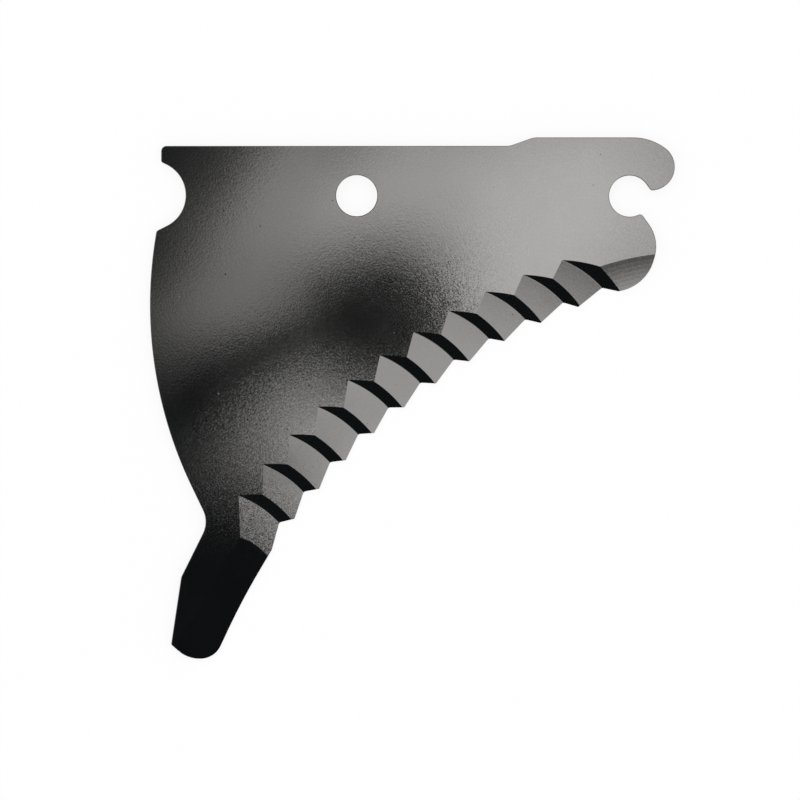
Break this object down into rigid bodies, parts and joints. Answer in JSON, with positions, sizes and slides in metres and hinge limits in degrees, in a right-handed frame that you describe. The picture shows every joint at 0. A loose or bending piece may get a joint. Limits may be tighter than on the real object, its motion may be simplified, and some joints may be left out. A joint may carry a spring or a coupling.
{
  "type": "round baler knife",
  "caption": "Flat serrated baler knife with a shaft bore, an open locating hook, a half-round roller notch and a long tail, ground to its cutting edge from one face.",
  "frame": {"origin": "middle of the plan, on the flat back face", "axes": "+X from the notch towards the open hook, +Y towards the straight top edge, +Z out of the ground face"},
  "size_m": [0.2624, 0.2608, 0.004],
  "materials": {
    "blackened_steel": "dark glossy black-finished steel with a fine grain, the ground facets the same dark colour"
  },
  "bodies": {
    "root": {"knife": "blackened_steel"}
  },
  "joints": []
}
